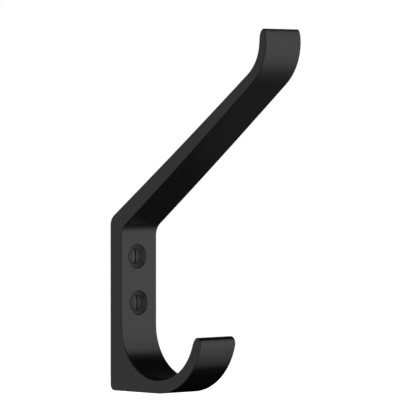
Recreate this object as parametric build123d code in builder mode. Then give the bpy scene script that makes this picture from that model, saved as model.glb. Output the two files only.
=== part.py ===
from build123d import *
from math import asin, cos, sin, tan, radians, sqrt
import os

os.makedirs("parts", exist_ok=True)

# Hat-and-coat hook with its two fixing screws. Millimetres.
# Frame: +X across the width, +Z up, the wall is the plane Y = 0 and the hook stands out of it towards -Y.
# Origin on the wall plane, in the middle of the width, half way in height between the two screws.

# ---- driving dimensions: the hook's side profile -------------------------------------------------
# u is the distance out from the wall, z the height above the lowest point of the hook
width = 18.0              # the section is constant right across this width
stem_t = 6.437            # thickness of the stem that lies on the wall
edge_r = 0.38             # rounding of both long edges of the section

heel_r = 2.15             # bottom back corner of the stem
back_bend_r = 4.73        # where the stem's back leaves the wall and becomes the upper arm
inner_bend_r = 5.69       # the inside of that bend, above the lower screw's face

arm_mid_u = 42.80         # the arm's two faces bow by about a degree; this is the middle of the bow
arm_back_mid_z = 95.43
arm_back_angle = 36.084   # mean slope of the arm's upper face
arm_back_bow = 1.21
arm_under_mid_z = 88.64
arm_under_angle = 37.664  # mean slope of the arm's lower face
arm_under_bow = 1.264
arm_bow_reach = 31.64     # how far the bow's arc runs each side of the middle

height = 135.21           # top of the upper tip
tip_ref_z = 130.75        # height at which the two upper tip faces are measured
tip_back_u, tip_back_angle, crook_r = 80.20, 85.387, 14.90
tip_front_u, tip_front_angle, chin_r = 83.93, 91.419, 19.56
tip_apex_u = 82.43
tip_back_cap, tip_front_cap = 3.32, 4.11     # how far down each face the rounded end reaches

cup_r, cup_z = 19.73, 24.62                   # the J: inner arc's radius and the height of its centre
lip_back_angle = 72.272                       # slope of the lower tip's inner face
lip_z = 21.694                                # top of the lower tip
lip_apex_u = 47.28
lip_front_u, lip_front_angle, belly_r = 50.57, 74.402, 24.32
lip_front_cap = 4.04

# ---- driving dimensions: holes and screws --------------------------------------------------------
fixings = {"upper_screw": (-0.98, 50.70), "lower_screw": (-0.23, 33.05)}   # x, height above the lowest point
sink_r = 4.69             # countersink at the stem's face, 90 degrees
bore_r = 2.0              # clearance bore
rim_r = 0.15              # broken edge of the countersink's rim

head_r = 3.05             # slotted raised countersunk wood screw, 3.5 mm, small head
head_crown = 0.80         # height of the raised head above its edge
slot_w = 0.60
slot_depth = 1.20         # from the top of the crown
shank_r = 1.45            # plain shank under the head, as thin as the thread's core
thread_r = 1.75           # envelope of the thread, from the wall plane on
screw_len = 13.0          # from the head's edge to the point
point_len = 3.0

zo = sum(z for x, z in fixings.values()) / 2      # the origin's height above the lowest point


# ---- plane geometry of the profile -----------------------------------------------------------------
def meet(p, a, q, b):
    """Point where the line through p at a degrees meets the line through q at b degrees."""
    ca, sa, cb, sb = cos(radians(a)), sin(radians(a)), cos(radians(b)), sin(radians(b))
    t = ((q[0] - p[0]) * sb - (q[1] - p[1]) * cb) / (ca * sb - sa * cb)
    return (p[0] + t * ca, p[1] + t * sa)


def toward(p, q, d):
    """Point d from p on the way to q."""
    n = sqrt((q[0] - p[0]) ** 2 + (q[1] - p[1]) ** 2)
    return (p[0] + (q[0] - p[0]) * d / n, p[1] + (q[1] - p[1]) * d / n)


def at(p):
    """Profile point (u, z) in the side plane, whose axes are +Y and +Z."""
    return (-p[0], p[1] - zo)


back_mid = (arm_mid_u, arm_back_mid_z)
under_mid = (arm_mid_u, arm_under_mid_z)
back_lo, back_hi = arm_back_angle - arm_back_bow / 2, arm_back_angle + arm_back_bow / 2
under_lo, under_hi = arm_under_angle - arm_under_bow / 2, arm_under_angle + arm_under_bow / 2

heel = (0, 0)
nape = meet(back_mid, back_lo, (0, 0), 90)
crook = meet(back_mid, back_hi, (tip_back_u, tip_ref_z), tip_back_angle)
tip_b = meet((tip_back_u, tip_ref_z), tip_back_angle, (0, height), 0)
tip_f = meet((tip_front_u, tip_ref_z), tip_front_angle, (0, height), 0)
chin = meet((tip_front_u, tip_ref_z), tip_front_angle, under_mid, under_hi)
armpit = meet(under_mid, under_lo, (stem_t, 0), 90)

cup_c = (stem_t + cup_r, cup_z)
cup_in = (stem_t, cup_z)
cup_floor = (cup_c[0], cup_z - cup_r)
cup_out = (cup_c[0] + cup_r * sin(radians(lip_back_angle)), cup_z - cup_r * cos(radians(lip_back_angle)))
lip_b = meet(cup_out, lip_back_angle, (0, lip_z), 0)
lip_f = (lip_front_u, lip_z)
belly = meet(lip_f, lip_front_angle, (0, 0), 0)

tip_apex = (tip_apex_u, height)
lip_apex = (lip_apex_u, lip_z)
tip_b0, tip_f0 = toward(tip_b, crook, tip_back_cap), toward(tip_f, chin, tip_front_cap)
lip_f0 = toward(lip_f, belly, lip_front_cap)
quarter = [1, sqrt(0.5), 1]         # weights that make each rounded end's curve a quarter of an ellipse

# ---- the hook ------------------------------------------------------------------------------------
with BuildPart() as hook:
    with BuildSketch(Plane.YZ) as side:
        with BuildLine():
            Polyline(at(cup_in), at(armpit), at(under_mid), at(chin), at(tip_f0))
            Bezier(at(tip_f0), at(tip_f), at(tip_apex), weights=quarter)
            Bezier(at(tip_apex), at(tip_b), at(tip_b0), weights=quarter)
            Polyline(at(tip_b0), at(crook), at(back_mid), at(nape), at(heel), at(belly), at(lip_f0))
            Bezier(at(lip_f0), at(lip_f), at(lip_apex), weights=quarter)
            Bezier(at(lip_apex), at(lip_b), at(cup_out), weights=quarter)
            ThreePointArc(
                at(cup_out),
                at((cup_c[0] + cup_r * cos(radians(-50)), cup_z + cup_r * sin(radians(-50)))),
                at(cup_floor),
            )
            ThreePointArc(
                at(cup_floor),
                at((cup_c[0] + cup_r * cos(radians(-135)), cup_z + cup_r * sin(radians(-135)))),
                at(cup_in),
            )
        make_face()
        for corner, r in (
            (heel, heel_r),
            (nape, back_bend_r),
            (back_mid, arm_bow_reach / tan(radians(arm_back_bow / 2))),
            (crook, crook_r),
            (chin, chin_r),
            (under_mid, arm_bow_reach / tan(radians(arm_under_bow / 2))),
            (armpit, inner_bend_r),
            (belly, belly_r),
        ):
            where = Vertex(*at(corner), 0)
            fillet(side.vertices().sort_by_distance(where)[0], radius=r)
    extrude(amount=width / 2, both=True)

    # both long edges of the section, all the way round each cut face
    ends = hook.faces().filter_by(Axis.X).sort_by(Axis.X)
    fillet([*ends[0].edges(), *ends[-1].edges()], radius=edge_r)

    # the two countersunk holes, square to the stem's face
    for x, z in fixings.values():
        with Locations(Plane(origin=(x, -stem_t, z - zo), x_dir=(1, 0, 0), z_dir=(0, -1, 0))):
            CounterSinkHole(radius=bore_r, counter_sink_radius=sink_r, depth=stem_t, counter_sink_angle=90)
    rims = hook.edges().filter_by(GeomType.CIRCLE).filter_by(lambda e: abs(e.radius - sink_r) < 0.01)
    fillet(rims, radius=rim_r)
hook.part.label = "hook"
export_step(hook.part, "parts/hook.step")


# ---- the screws ----------------------------------------------------------------------------------
to_wall = stem_t - (sink_r - head_r)      # from the head's edge, down in the countersink, on to the wall plane
crown_r = (head_r**2 + head_crown**2) / (2 * head_crown)
half_arc = asin(head_r / crown_r) / 2
crown_mid = (crown_r * sin(half_arc), crown_r * (1 - cos(half_arc)) - head_crown)

# half section: the radius, then the way in towards the wall from the head's edge
outline = [
    (0, -head_crown),
    (0, screw_len),
    (thread_r, screw_len - point_len),
    (thread_r, to_wall),
    (shank_r, to_wall),
    (shank_r, head_r - shank_r),
    (head_r, 0),
]

x, z = fixings["upper_screw"]
with BuildPart() as upper_screw:
    with BuildSketch(Plane(origin=(x, -to_wall, z - zo), x_dir=(1, 0, 0), z_dir=(0, 0, 1))):
        with BuildLine():
            Polyline(*outline)
            ThreePointArc(outline[-1], crown_mid, outline[0])
        make_face()
    revolve(axis=Axis((x, 0, z - zo), (0, 1, 0)))
    # the slot stands upright and runs right across the head
    with BuildSketch(Plane(origin=(x, -to_wall - head_crown, z - zo), x_dir=(1, 0, 0), z_dir=(0, -1, 0))):
        Rectangle(slot_w, 2 * head_r + 2)
    extrude(amount=-slot_depth, mode=Mode.SUBTRACT)
upper_screw.part.label = "upper_screw"
export_step(upper_screw.part, "parts/upper_screw.step")

x, z = fixings["lower_screw"]
with BuildPart() as lower_screw:
    with BuildSketch(Plane(origin=(x, -to_wall, z - zo), x_dir=(1, 0, 0), z_dir=(0, 0, 1))):
        with BuildLine():
            Polyline(*outline)
            ThreePointArc(outline[-1], crown_mid, outline[0])
        make_face()
    revolve(axis=Axis((x, 0, z - zo), (0, 1, 0)))
    # the slot stands upright and runs right across the head
    with BuildSketch(Plane(origin=(x, -to_wall - head_crown, z - zo), x_dir=(1, 0, 0), z_dir=(0, -1, 0))):
        Rectangle(slot_w, 2 * head_r + 2)
    extrude(amount=-slot_depth, mode=Mode.SUBTRACT)
lower_screw.part.label = "lower_screw"
export_step(lower_screw.part, "parts/lower_screw.step")
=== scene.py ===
import bpy, math
from mathutils import Vector, Matrix


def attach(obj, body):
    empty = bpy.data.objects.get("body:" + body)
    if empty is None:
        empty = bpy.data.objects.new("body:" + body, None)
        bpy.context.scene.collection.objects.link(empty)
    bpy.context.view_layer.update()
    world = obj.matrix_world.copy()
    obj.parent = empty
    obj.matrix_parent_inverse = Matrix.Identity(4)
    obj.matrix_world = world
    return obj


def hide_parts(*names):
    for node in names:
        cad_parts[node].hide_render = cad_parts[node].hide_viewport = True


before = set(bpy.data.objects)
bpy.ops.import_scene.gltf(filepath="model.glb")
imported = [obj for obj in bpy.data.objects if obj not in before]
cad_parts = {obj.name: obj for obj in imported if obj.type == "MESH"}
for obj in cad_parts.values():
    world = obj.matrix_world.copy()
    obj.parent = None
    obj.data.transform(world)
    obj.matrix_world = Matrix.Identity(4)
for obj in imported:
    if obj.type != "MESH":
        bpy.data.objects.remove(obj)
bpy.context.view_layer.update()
scene = bpy.context.scene

# ---- camera -----------------------------------------------------------------------------------------
IMG = 416
CAM_AT = (-0.969012, -1.055822, 0.056133)
CAM_YAW, CAM_PITCH = math.radians(43.76589), math.radians(-1.16499)
FOCAL_PX = 3772.747

cam_data = bpy.data.cameras.new("camera")
cam = bpy.data.objects.new("camera", cam_data)
scene.collection.objects.link(cam)
scene.camera = cam
cam_data.sensor_width = 36.0
cam_data.lens = FOCAL_PX / IMG * 36.0
cam_data.clip_start, cam_data.clip_end = 0.01, 50.0
ahead = Vector((math.sin(CAM_YAW) * math.cos(CAM_PITCH), math.cos(CAM_YAW) * math.cos(CAM_PITCH), math.sin(CAM_PITCH)))
cam.location = CAM_AT
cam.rotation_mode = "QUATERNION"
cam.rotation_quaternion = ahead.to_track_quat("-Z", "Y")

scene.view_settings.view_transform = "Standard"
scene.view_settings.look = "None"


# ---- helpers ----------------------------------------------------------------------------------------
def material(name):
    m = bpy.data.materials.new(name)
    m.use_nodes = True
    nt = m.node_tree
    nt.nodes.clear()
    out = nt.nodes.new("ShaderNodeOutputMaterial")
    bsdf = nt.nodes.new("ShaderNodeBsdfPrincipled")
    nt.links.new(bsdf.outputs["BSDF"], out.inputs["Surface"])
    return m, nt, bsdf


def noise(nt, coords, scale, detail=2.0, rough=0.5):
    n = nt.nodes.new("ShaderNodeTexNoise")
    n.inputs["Scale"].default_value = scale
    n.inputs["Detail"].default_value = detail
    n.inputs["Roughness"].default_value = rough
    nt.links.new(coords, n.inputs["Vector"])
    return n.outputs["Fac"]


def remap(nt, value, lo, hi, from_lo=0.3, from_hi=0.7):
    r = nt.nodes.new("ShaderNodeMapRange")
    r.inputs["From Min"].default_value, r.inputs["From Max"].default_value = from_lo, from_hi
    r.inputs["To Min"].default_value, r.inputs["To Max"].default_value = lo, hi
    nt.links.new(value, r.inputs["Value"])
    return r.outputs["Result"]


def bump(nt, height, distance, strength=1.0, after=None):
    b = nt.nodes.new("ShaderNodeBump")
    b.inputs["Distance"].default_value = distance
    b.inputs["Strength"].default_value = strength
    nt.links.new(height, b.inputs["Height"])
    if after is not None:
        nt.links.new(after, b.inputs["Normal"])
    return b.outputs["Normal"]


# ---- the screws, with real threads -------------------------------------------------------------------
MM = 0.001
HOLES = ((-0.00098, 0.008825), (-0.00023, -0.008825))     # x, z of the two countersinks
STEM_T, SINK_R = 0.006437, 0.00469
HEAD_R, CROWN, TO_WALL, LENGTH, POINT = 3.05, 0.80, 4.797, 13.0, 3.0      # mm, as in the CAD screws
SHANK_R, THREAD_R, CORE_R, PITCH, FLANK = 1.44, 1.742, 1.20, 1.60, 0.52
SLOT_W, SLOT_DEPTH = 0.60, 1.20


def fade(v, lo, hi):
    t = min(max((v - lo) / (hi - lo), 0.0), 1.0)
    return t * t * (3 - 2 * t)


def screw_radius(s, turn):
    """Radius at s mm from the head's edge, towards the wall and the point, and at that angle round the axis."""
    if s <= TO_WALL:
        return SHANK_R
    body = LENGTH - POINT
    cone = 1.0 if s <= body else max((LENGTH - s) / POINT, 0.0)
    core = SHANK_R + (CORE_R - SHANK_R) * fade(s, TO_WALL, TO_WALL + 0.5)
    core *= min(cone * 1.06, 1.0) if cone > 0 else 0.0
    crest = THREAD_R * cone
    rise = fade(s, TO_WALL + 0.1, TO_WALL + 1.0)
    off = abs((s / PITCH - turn) % 1.0 - 0.5) * PITCH          # distance along the axis from the crest
    tooth = min(max(1.0 - (off - 0.05) / FLANK, 0.0), 1.0)
    return core + max(crest - core, 0.0) * tooth * rise


def wood_screw(name, x, z):
    around = 56
    crown_r = (HEAD_R ** 2 + CROWN ** 2) / (2 * CROWN)
    rows = []                                                  # (s, radius or None where the thread decides)
    for i in range(1, 15):
        r = (HEAD_R - 0.07) * i / 14
        rows.append((-CROWN + crown_r - math.sqrt(crown_r ** 2 - r ** 2) + 0.004, r))
    rows += [(0.012, HEAD_R - 0.03), (0.045, HEAD_R - 0.006), (0.09, HEAD_R - 0.045 - 0.05)]
    rows += [(0.10 + 1.45 * i / 5, HEAD_R - 0.11 - 1.45 * i / 5) for i in range(1, 6)]
    rows += [(1.72, SHANK_R), (3.0, SHANK_R), (4.0, SHANK_R)]
    steps = int((LENGTH - 0.02 - TO_WALL) / 0.062)
    rows += [(TO_WALL + (LENGTH - 0.02 - TO_WALL) * i / steps, None) for i in range(steps + 1)]
    verts, faces = [(0.0, -CROWN, 0.0)], []
    for s, r in rows:
        for j in range(around):
            turn = j / around
            rr = screw_radius(s, turn) if r is None else r
            rr = max(rr, 0.012)
            verts.append((rr * math.sin(2 * math.pi * turn), s, rr * math.cos(2 * math.pi * turn)))
    verts.append((0.0, LENGTH, 0.0))
    for j in range(around):
        k = (j + 1) % around
        faces.append((0, 1 + j, 1 + k))
        for i in range(len(rows) - 1):
            a, b = 1 + i * around, 1 + (i + 1) * around
            faces.append((a + j, b + j, b + k, a + k))
        a = 1 + (len(rows) - 1) * around
        faces.append((a + j, len(verts) - 1, a + k))
    mesh = bpy.data.meshes.new(name)
    mesh.from_pydata([(vx * MM, vy * MM, vz * MM) for vx, vy, vz in verts], [], faces)
    mesh.update()
    blank = bpy.data.objects.new(name + "_blank", mesh)
    scene.collection.objects.link(blank)

    # the slot, cut upright across the head
    top, foot, w, h = (-CROWN - 1) * MM, (-CROWN + SLOT_DEPTH) * MM, SLOT_W / 2 * MM, (HEAD_R + 1) * MM
    cv = [(sx * w, y, sz * h) for y in (top, foot) for sx, sz in ((-1, -1), (1, -1), (1, 1), (-1, 1))]
    cutter_mesh = bpy.data.meshes.new("cutter")
    cutter_mesh.from_pydata(cv, [], [(0, 1, 2, 3), (7, 6, 5, 4), (0, 4, 5, 1), (1, 5, 6, 2), (2, 6, 7, 3), (3, 7, 4, 0)])
    cutter = bpy.data.objects.new("cutter", cutter_mesh)
    scene.collection.objects.link(cutter)
    cut = blank.modifiers.new("slot", "BOOLEAN")
    cut.operation, cut.solver, cut.object = "DIFFERENCE", "EXACT", cutter
    bpy.context.view_layer.update()
    made = bpy.data.meshes.new_from_object(blank.evaluated_get(bpy.context.evaluated_depsgraph_get()))
    bpy.data.objects.remove(cutter)
    bpy.data.objects.remove(blank)
    made.name = name
    made.polygons.foreach_set("use_smooth", [True] * len(made.polygons))
    made.set_sharp_from_angle(angle=math.radians(38))
    made.materials.clear()
    o = bpy.data.objects.new(name, made)
    scene.collection.objects.link(o)
    o.location = (x, -TO_WALL * MM, z)
    return o


screws = []
for cad_name, (hx, hz) in zip(("upper_screw", "lower_screw"), HOLES):
    piece = wood_screw(cad_name + "_threaded", hx, hz)
    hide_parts(cad_name)
    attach(piece, "root")
    screws.append(piece)

# ---- materials --------------------------------------------------------------------------------------
ROUGH = 0.186


def turned(nt, co, bsdf, rough, sink_rough, sink_aniso, sink_spec):
    """Tool marks of the countersinks: grooves round each hole's axis spread the reflection along the slope."""
    near = nt.nodes.new("ShaderNodeSeparateXYZ")
    nt.links.new(co, near.inputs["Vector"])
    side = nt.nodes.new("ShaderNodeMath")                  # upper hole or lower hole
    side.operation = "GREATER_THAN"
    side.inputs[1].default_value = 0.0
    nt.links.new(near.outputs["Z"], side.inputs[0])
    axis = nt.nodes.new("ShaderNodeMix")
    axis.data_type = "VECTOR"
    axis.inputs["A"].default_value = (HOLES[1][0], 0, HOLES[1][1])
    axis.inputs["B"].default_value = (HOLES[0][0], 0, HOLES[0][1])
    nt.links.new(side.outputs[0], axis.inputs["Factor"])
    off = nt.nodes.new("ShaderNodeVectorMath")
    off.operation = "SUBTRACT"
    nt.links.new(co, off.inputs[0])
    nt.links.new(axis.outputs["Result"], off.inputs[1])
    flat = nt.nodes.new("ShaderNodeVectorMath")            # radial vector, square to the hole's axis
    flat.operation = "MULTIPLY"
    flat.inputs[1].default_value = (1, 0, 1)
    nt.links.new(off.outputs["Vector"], flat.inputs[0])
    unit = nt.nodes.new("ShaderNodeVectorMath")
    unit.operation = "NORMALIZE"
    nt.links.new(flat.outputs["Vector"], unit.inputs[0])
    dist = nt.nodes.new("ShaderNodeVectorMath")
    dist.operation = "LENGTH"
    nt.links.new(flat.outputs["Vector"], dist.inputs[0])
    inside = remap(nt, dist.outputs["Value"], 1.0, 0.0, SINK_R - 0.00036, SINK_R - 0.00022)      # the rim stays dark
    below = remap(nt, near.outputs["Y"], 0.0, 1.0, -STEM_T + 0.00004, -STEM_T + 0.00012)
    above = remap(nt, near.outputs["Y"], 1.0, 0.0, -0.0036, -0.0035)
    both = nt.nodes.new("ShaderNodeMath")
    both.operation = "MULTIPLY"
    nt.links.new(inside, both.inputs[0])
    nt.links.new(below, both.inputs[1])
    sink = nt.nodes.new("ShaderNodeMath")
    sink.operation = "MULTIPLY"
    nt.links.new(both.outputs[0], sink.inputs[0])
    nt.links.new(above, sink.inputs[1])
    sink = sink.outputs[0]

    r = nt.nodes.new("ShaderNodeMix")
    r.data_type = "FLOAT"
    nt.links.new(sink, r.inputs["Factor"])
    nt.links.new(rough, r.inputs["A"])
    r.inputs["B"].default_value = sink_rough
    r.name = "sink_rough"
    nt.links.new(r.outputs["Result"], bsdf.inputs["Roughness"])
    an = remap(nt, sink, 0.0, sink_aniso, 0.0, 1.0)
    an.node.name = "sink_aniso"
    nt.links.new(an, bsdf.inputs["Anisotropic"])
    spec = remap(nt, sink, 0.5, sink_spec, 0.0, 1.0)
    spec.node.name = "sink_spec"
    nt.links.new(spec, bsdf.inputs["Specular IOR Level"])
    nt.links.new(unit.outputs["Vector"], bsdf.inputs["Tangent"])
    return sink


coat, nt, bsdf = material("satin_black_coat")
co = nt.nodes.new("ShaderNodeTexCoord").outputs["Object"]
fine = noise(nt, co, 5200.0, 3.0)
soft = noise(nt, co, 420.0, 2.0)
wear = remap(nt, soft, ROUGH - 0.015, ROUGH + 0.015)
wear.node.name = "rough"
sink = turned(nt, co, bsdf, wear, 0.572, 0.9, 0.757)
nt.links.new(bump(nt, fine, 0.000006, 0.6), bsdf.inputs["Normal"])
bsdf.inputs["Base Color"].default_value = (0.004, 0.004, 0.0042, 1)
bsdf.inputs["IOR"].default_value = 1.5

steel, nt, bsdf = material("blackened_steel")
co = nt.nodes.new("ShaderNodeTexCoord").outputs["Object"]
fine = noise(nt, co, 3000.0, 3.0)
grain = remap(nt, fine, 0.51, 0.59)
grain.node.name = "rough"
nt.links.new(grain, bsdf.inputs["Roughness"])
bsdf.inputs["Base Color"].default_value = (0.006, 0.006, 0.006, 1)
bsdf.inputs["IOR"].default_value = 1.5
bsdf.inputs["Specular IOR Level"].default_value = 0.74

for name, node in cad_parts.items():
    node.data.materials.clear()
    node.data.materials.append(coat if name == "hook" else steel)
for piece in screws:
    piece.data.materials.append(steel)

# ---- floor and light --------------------------------------------------------------------------------
pale, nt, bsdf = material("pale_floor")
bsdf.inputs["Base Color"].default_value = (0.9, 0.9, 0.9, 1)
bsdf.inputs["Roughness"].default_value = 0.9
bsdf.inputs["Emission Color"].default_value = (1, 1, 1, 1)
bsdf.inputs["Emission Strength"].default_value = 1.0
floor_mesh = bpy.data.meshes.new("floor")
floor_mesh.from_pydata([(-20, -20, 0), (20, -20, 0), (20, 20, 0), (-20, 20, 0)], [], [(0, 1, 2, 3)])
floor_mesh.materials.append(pale)
floor = bpy.data.objects.new("floor", floor_mesh)
floor.location = (0, 0, -1.8)          # well under the hook, which hangs on a wall
scene.collection.objects.link(floor)
floor.visible_glossy = floor.visible_diffuse = floor.visible_shadow = False

# A pale card held close to the hook's right, for the upper half of the arm's lower face. The camera doesn't see it.
CARD_AT, CARD_TO, CARD_SIZE, CARD_POWER = (0.115, -0.058, -0.005), (0.0, -0.062, 0.080), (0.10, 0.09), 0.00105
card_light = bpy.data.lights.new("arm_card", "AREA")
card_light.shape = "RECTANGLE"
card_light.size, card_light.size_y = CARD_SIZE
card_light.energy = CARD_POWER
card = bpy.data.objects.new("arm_card", card_light)
scene.collection.objects.link(card)
card.location = CARD_AT
card.rotation_mode = "QUATERNION"
card.rotation_quaternion = (Vector(CARD_TO) - Vector(CARD_AT)).to_track_quat("-Z", "X")
card.visible_camera = False

# A black flag beside it, lower down, keeps the light from below off the J's outside.
flag_mat, nt, bsdf = material("black_flag")
bsdf.inputs["Base Color"].default_value = (0.0, 0.0, 0.0, 1)
bsdf.inputs["Specular IOR Level"].default_value = 0.0
bsdf.inputs["Roughness"].default_value = 1.0
FLAG = ((-0.080, 0.040, -0.124), (0.040, 0.160, -0.062))      # y from, y to, height of the top edge
flag_mesh = bpy.data.meshes.new("flag")
flag_mesh.from_pydata(
    [(0.115, y, z) for y0, y1, top in FLAG for y, z in ((y0, -0.30), (y1, -0.30), (y1, top), (y0, top))],
    [], [(4 * i, 4 * i + 1, 4 * i + 2, 4 * i + 3) for i in range(len(FLAG))],
)
flag_mesh.materials.append(flag_mat)
flag = bpy.data.objects.new("flag", flag_mesh)
scene.collection.objects.link(flag)
flag.visible_camera = False

# The studio: a ring of soft boxes all round the hook, and three more to its right, above and below it. Each box of the
# ring is (azimuth, strength, sharpness); azimuth 0 is in front of the hook (towards -Y), 90 to its right.
RING = (
    (28.3, 1.312, 7.0),     # key, right of the camera
    (70, 0.210, 10.0),
    (0, 0.243, 5.0),        # front
    (-60, 0.647, 5.0),      # behind the camera and to its left
    (-140, 0.584, 6.0),     # left rear
    (180, 0.60, 16.0),      # rear, for the views from behind
)
RING_TOP = (0.578, 0.711)     # the boxes' edges fade between these heights (sines of the elevation)
RING_FOOT = (-0.420, -1.030)
AMBIENT = 0.006
OVERHEAD = 0.40             # a box straight above
OVERHEAD_EDGE = (0.86, 0.96)
BELOW = 0.15                # and a weaker one straight below
RIGHT = ((0.992, 0.122, 0.03), 0.60, 16.0)      # direction, strength, sharpness of the box at the hook's right

world = bpy.data.worlds.new("studio")
scene.world = world
world.use_nodes = True
wt = world.node_tree
wt.nodes.clear()


def wmath(op, a, b=None, c=None):
    n = wt.nodes.new("ShaderNodeMath")
    n.operation = op
    for i, v in enumerate((a, b, c)):
        if v is None:
            continue
        if isinstance(v, (int, float)):
            n.inputs[i].default_value = v
        else:
            wt.links.new(v, n.inputs[i])
    return n.outputs[0]


def wvector(op, a, b=None, out="Vector"):
    n = wt.nodes.new("ShaderNodeVectorMath")
    n.operation = op
    wt.links.new(a, n.inputs[0])
    if b is not None:
        n.inputs[1].default_value = b
    return n.outputs[out]


direction = wvector("NORMALIZE", wt.nodes.new("ShaderNodeTexCoord").outputs["Generated"])
parts = wt.nodes.new("ShaderNodeSeparateXYZ")
wt.links.new(direction, parts.inputs["Vector"])
level = wvector("NORMALIZE", wvector("MULTIPLY", direction, (1, 1, 0)))
ring = None
for azimuth, strength, sharpness in RING:
    a = math.radians(azimuth)
    close = wvector("DOT_PRODUCT", level, (math.sin(a), -math.cos(a), 0), "Value")
    lobe = wmath("EXPONENT", wmath("MULTIPLY_ADD", close, sharpness, -sharpness))
    ring = wmath("MULTIPLY_ADD", lobe, strength, 0.0 if ring is None else ring)
for band in (RING_TOP, RING_FOOT):
    m = wt.nodes.new("ShaderNodeMapRange")
    m.interpolation_type = "SMOOTHSTEP"
    m.inputs["From Min"].default_value, m.inputs["From Max"].default_value = band
    m.inputs["To Min"].default_value, m.inputs["To Max"].default_value = 1.0, 0.0
    wt.links.new(parts.outputs["Z"], m.inputs["Value"])
    ring = wmath("MULTIPLY", ring, m.outputs["Result"])

toward_right = wvector("DOT_PRODUCT", direction, RIGHT[0], "Value")
lobe = wmath("EXPONENT", wmath("MULTIPLY_ADD", toward_right, RIGHT[2], -RIGHT[2]))
ring = wmath("MULTIPLY_ADD", lobe, RIGHT[1], ring)
for way, strength in ((1, OVERHEAD), (-1, BELOW)):
    m = wt.nodes.new("ShaderNodeMapRange")
    m.interpolation_type = "SMOOTHSTEP"
    m.inputs["From Min"].default_value, m.inputs["From Max"].default_value = OVERHEAD_EDGE
    m.inputs["To Min"].default_value, m.inputs["To Max"].default_value = 0.0, strength
    wt.links.new(wmath("MULTIPLY", parts.outputs["Z"], way), m.inputs["Value"])
    ring = wmath("ADD", ring, m.outputs["Result"])

w_out = wt.nodes.new("ShaderNodeOutputWorld")
seen = wt.nodes.new("ShaderNodeBackground")
seen.inputs["Color"].default_value = (1, 1, 1, 1)
unseen = wt.nodes.new("ShaderNodeBackground")
unseen.inputs["Color"].default_value = (1, 1, 1, 1)
wt.links.new(wmath("ADD", ring, AMBIENT), unseen.inputs["Strength"])
path = wt.nodes.new("ShaderNodeLightPath")
mix = wt.nodes.new("ShaderNodeMixShader")
wt.links.new(path.outputs["Is Camera Ray"], mix.inputs["Fac"])
wt.links.new(unseen.outputs["Background"], mix.inputs[1])
wt.links.new(seen.outputs["Background"], mix.inputs[2])
wt.links.new(mix.outputs["Shader"], w_out.inputs["Surface"])
